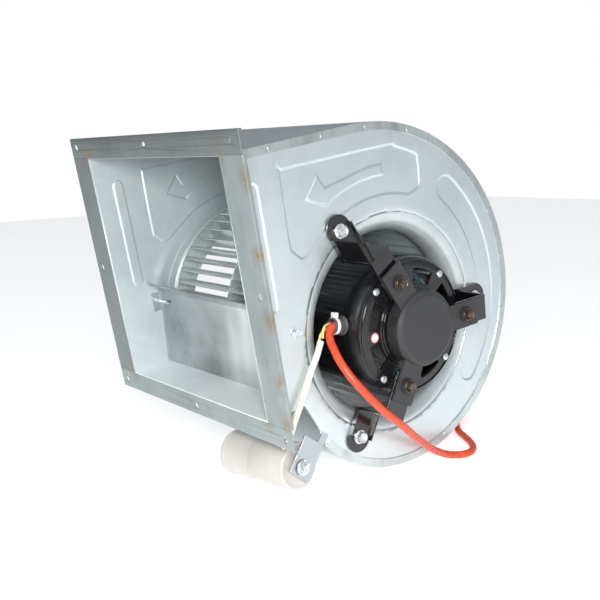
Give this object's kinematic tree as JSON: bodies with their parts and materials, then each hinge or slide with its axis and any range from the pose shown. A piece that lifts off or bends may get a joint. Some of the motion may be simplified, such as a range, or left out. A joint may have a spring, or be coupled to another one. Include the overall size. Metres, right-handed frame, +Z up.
{
  "type": "double-inlet centrifugal blower",
  "caption": "Double-inlet centrifugal blower: scroll housing with square outlet frame, turning squirrel-cage wheel, direct-drive motor on a three-legged spider.",
  "frame": {"origin": "centre of the overall box, on the floor, without the supply cable", "axes": "+Z up, outlet towards -Y, fan axis along X with the motor at +X; the blower leans 9.5 degrees forward on its scroll and capacitor"},
  "size_m": [0.359, 0.3997, 0.3651],
  "materials": {
    "galvanised_sheet": "zinc coated, faint spangle",
    "zinc_fasteners": "bright zinc plated",
    "bronze_fasteners": "yellow passivated, dull",
    "bright_steel": "ground",
    "hub_iron": "as cast or stacked",
    "black_steel": "blackened",
    "black_paint": "gloss black",
    "grey_paint": "satin dark grey",
    "winding": "varnished enamel wire",
    "black_rubber": "matte",
    "white_plastic": "smooth",
    "white_sleeve": "woven sleeve",
    "yellow_wire": "smooth",
    "orange_cable": "smooth",
    "black_plastic": "smooth"
  },
  "bodies": {
    "housing": {"side_plate_near": "galvanised_sheet", "side_plate_far": "galvanised_sheet", "inlet_ring_near": "galvanised_sheet", "inlet_ring_far": "galvanised_sheet", "scroll_wrap": "galvanised_sheet", "scroll_rim_near": "galvanised_sheet", "scroll_rim_far": "galvanised_sheet", "outlet_floor": "galvanised_sheet", "cutoff_panel": "galvanised_sheet", "housing_screws": "zinc_fasteners", "frame_top_bar": "galvanised_sheet", "frame_bottom_bar": "galvanised_sheet", "frame_near_bar": "galvanised_sheet", "frame_far_bar": "galvanised_sheet", "motor_shell": "black_paint", "motor_bell_outer": "black_paint", "motor_bell_inner": "black_paint", "stator_core": "hub_iron", "stator_windings": "winding", "bearing_outer": "bright_steel", "bearing_inner": "bright_steel", "motor_through_bolts": "zinc_fasteners", "cable_grommet": "black_rubber", "cable_tie": "white_plastic", "bell_sticker": "white_plastic", "rubber_ring": "black_rubber", "spider_bracket": "grey_paint", "motor_leg_a": "black_paint", "motor_leg_b": "black_paint", "motor_leg_c": "black_paint", "leg_bolts": "zinc_fasteners", "leg_nuts": "zinc_fasteners", "spider_bolts": "bronze_fasteners", "spider_nuts": "bronze_fasteners", "spider_bushes": "black_rubber", "capacitor_body": "white_plastic", "capacitor_bracket": "galvanised_sheet", "capacitor_nut": "zinc_fasteners", "capacitor_lead": "white_sleeve", "motor_lead_wires": "yellow_wire", "power_cable": "orange_cable", "cable_coil": "orange_cable", "coil_tie": "black_plastic", "cable_tail": "orange_cable", "cable_connector": "white_plastic"},
    "wheel": {"wheel_blades_near": "galvanised_sheet", "wheel_blades_far": "galvanised_sheet", "wheel_ring_near": "galvanised_sheet", "wheel_ring_far": "galvanised_sheet", "wheel_centre_plate": "galvanised_sheet", "wheel_hub": "hub_iron", "hub_set_screw": "black_steel", "motor_shaft": "bright_steel", "motor_rotor": "hub_iron"}
  },
  "joints": [
    {"name": "wheel_spin", "type": "hinge", "parent": "housing", "child": "wheel", "pos_m": [-0.0095, 0.01515, 0.1576], "axis": [1, 0, 0], "continuous": true}
  ]
}
